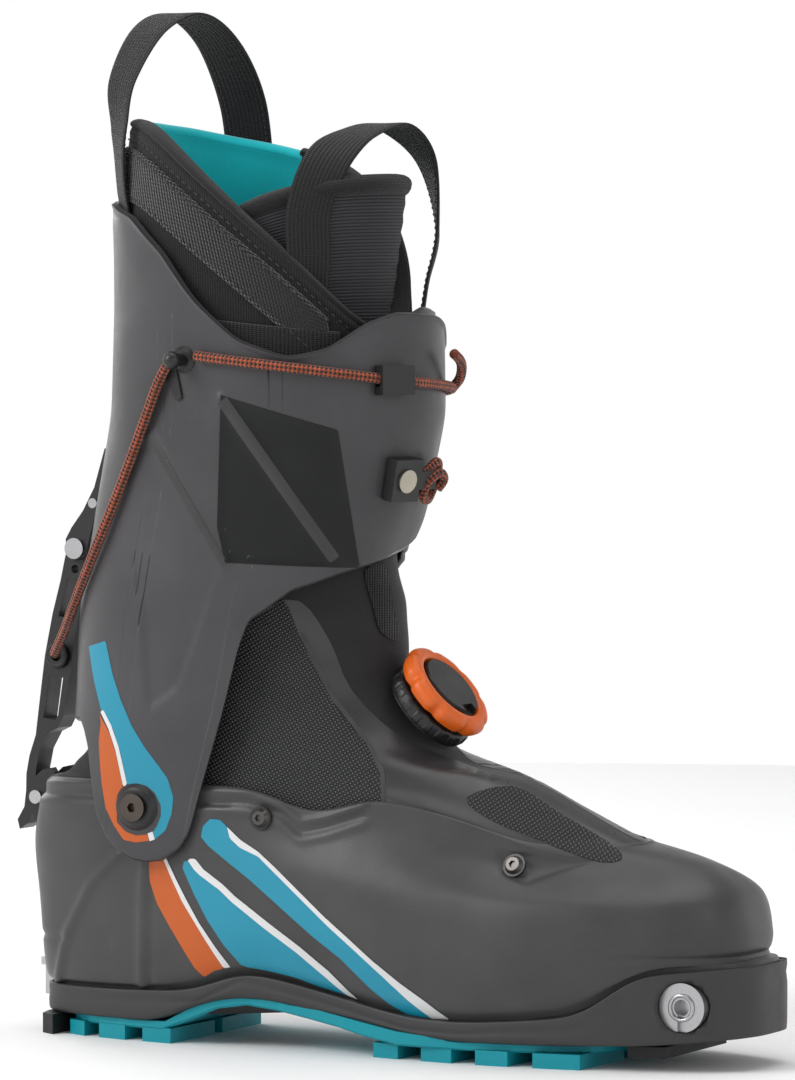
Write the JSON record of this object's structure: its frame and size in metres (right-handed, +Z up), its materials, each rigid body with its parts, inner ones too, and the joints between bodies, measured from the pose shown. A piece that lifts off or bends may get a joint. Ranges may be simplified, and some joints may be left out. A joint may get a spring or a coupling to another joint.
{
  "type": "alpine touring boot",
  "caption": "Lightweight alpine touring boot with hinged cuff, walk-mode lever, cord closure, lace dial, zipless gaiter, removable liner and pin-binding fittings.",
  "frame": {"origin": "on the ground plane under the middle of the bounding box", "axes": "+X towards the toe, -Y to the outer (lateral) side of this right boot, +Z up"},
  "size_m": [0.3162, 0.1242, 0.3892],
  "materials": {
    "black_plastic": "satin",
    "black_rubber": "matt",
    "brass": "satin",
    "cord_braid": "braided",
    "dark_metal": "satin black",
    "knit": "ribbed knit",
    "orange_plastic": "satin",
    "shell_grey": "satin moulded",
    "softshell": "woven",
    "sole_grey": "matt moulded",
    "steel": "satin",
    "teal_fabric": "knit",
    "teal_rubber": "matt",
    "webbing": "woven"
  },
  "bodies": {
    "lower_boot": {"lower_shell": "shell_grey", "sole_frame": "sole_grey", "outsole": "teal_rubber", "heel_pad": "black_rubber", "toe_pad": "black_rubber", "toe_fitting_lateral": "steel", "toe_fitting_medial": "steel", "heel_fitting": "steel", "heel_fitting_screw": "dark_metal", "pivot_bolts": "dark_metal", "pivot_washers": "dark_metal", "pivot_nuts": "steel", "heel_bracket": "shell_grey", "latch_pin": "steel", "gaiter_vamp": "softshell", "gaiter_collar": "softshell", "gaiter_velcro": "knit", "gaiter_screws": "dark_metal", "gaiter_washers": "black_plastic", "lace_guides": "black_plastic", "dial_lace": "steel", "dial_base": "black_plastic", "liner_lower": "knit", "liner_flex": "knit", "footbed": "teal_fabric"},
    "cuff_body": {"cuff": "shell_grey", "pivot_bushes": "brass", "cord_hooks": "black_plastic", "cord_hook_rivets": "steel", "cord_guides": "black_plastic", "cord_anchor": "shell_grey", "anchor_rivet": "brass", "lever_bracket": "black_plastic", "bracket_rivets": "steel", "lever_pin": "steel", "liner_upper": "knit", "liner_lining": "teal_fabric", "liner_velcro": "knit", "liner_strap": "webbing", "rear_loop": "webbing", "front_loop": "webbing", "cuff_cord": "cord_braid", "cord_span": "cord_braid"},
    "lever_body": {"walk_lever": "black_plastic", "lever_grommet": "black_rubber"},
    "dial_spindle": {"dial_axle": "steel"},
    "dial_knob": {"dial_grip": "orange_plastic", "dial_cap": "black_plastic", "dial_ratchet": "steel"},
    "dial_drum": {"dial_spool": "black_plastic"}
  },
  "joints": [
    {"name": "cuff_flex", "type": "hinge", "parent": "lower_boot", "child": "cuff_body", "pos_m": [-0.081, 0, 0.09], "axis": [0, 1, 0], "range_deg": [-15, 12], "deforming": ["gaiter_collar", "gaiter_velcro", "liner_flex"]},
    {"name": "lever_swing", "type": "hinge", "parent": "cuff_body", "child": "lever_body", "pos_m": [-0.1296, 0, 0.1845], "axis": [0, 1, 0], "range_deg": [0, 150], "deforming": ["cord_span"]},
    {"name": "dial_pull", "type": "slide", "parent": "lower_boot", "child": "dial_spindle", "axis": [0.7581, 0, 0.6521], "range_m": [0, 0.0024]},
    {"name": "dial_turn", "type": "hinge", "parent": "dial_spindle", "child": "dial_knob", "pos_m": [0.0165, 0, 0.1265], "axis": [0.7581, 0, 0.6521], "continuous": true},
    {"name": "drum_turn", "type": "hinge", "parent": "lower_boot", "child": "dial_drum", "pos_m": [0.0165, 0, 0.1265], "axis": [0.7581, 0, 0.6521], "continuous": true}
  ],
  "couplings": [
    {"joint": "drum_turn", "follows": "dial_turn", "ratio": 1}
  ]
}
